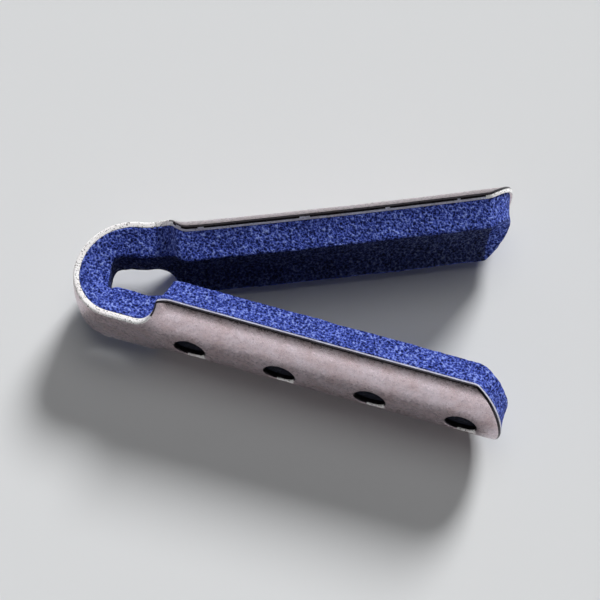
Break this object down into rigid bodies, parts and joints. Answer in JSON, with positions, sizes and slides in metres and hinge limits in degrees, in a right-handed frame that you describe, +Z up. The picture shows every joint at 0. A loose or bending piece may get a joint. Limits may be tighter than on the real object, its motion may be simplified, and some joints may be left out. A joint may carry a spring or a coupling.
{
  "type": "finger splint",
  "caption": "Fold-over finger splint: curved aluminium strip with punched holes, lined with blue foam and folded over the fingertip.",
  "frame": {"origin": "middle of the footprint, on the surface that the splint lies on, on its side", "axes": "+X from the fold to the open ends, +Y towards the upper leg, +Z up, across the width of the strip"},
  "size_m": [0.094, 0.0562, 0.0248],
  "materials": {
    "aluminium": "satin sheet, edges bright from the die",
    "foam": "blue open-cell foam"
  },
  "bodies": {
    "root": {"metal_shell": "aluminium", "foam_pad": "foam"}
  },
  "joints": []
}
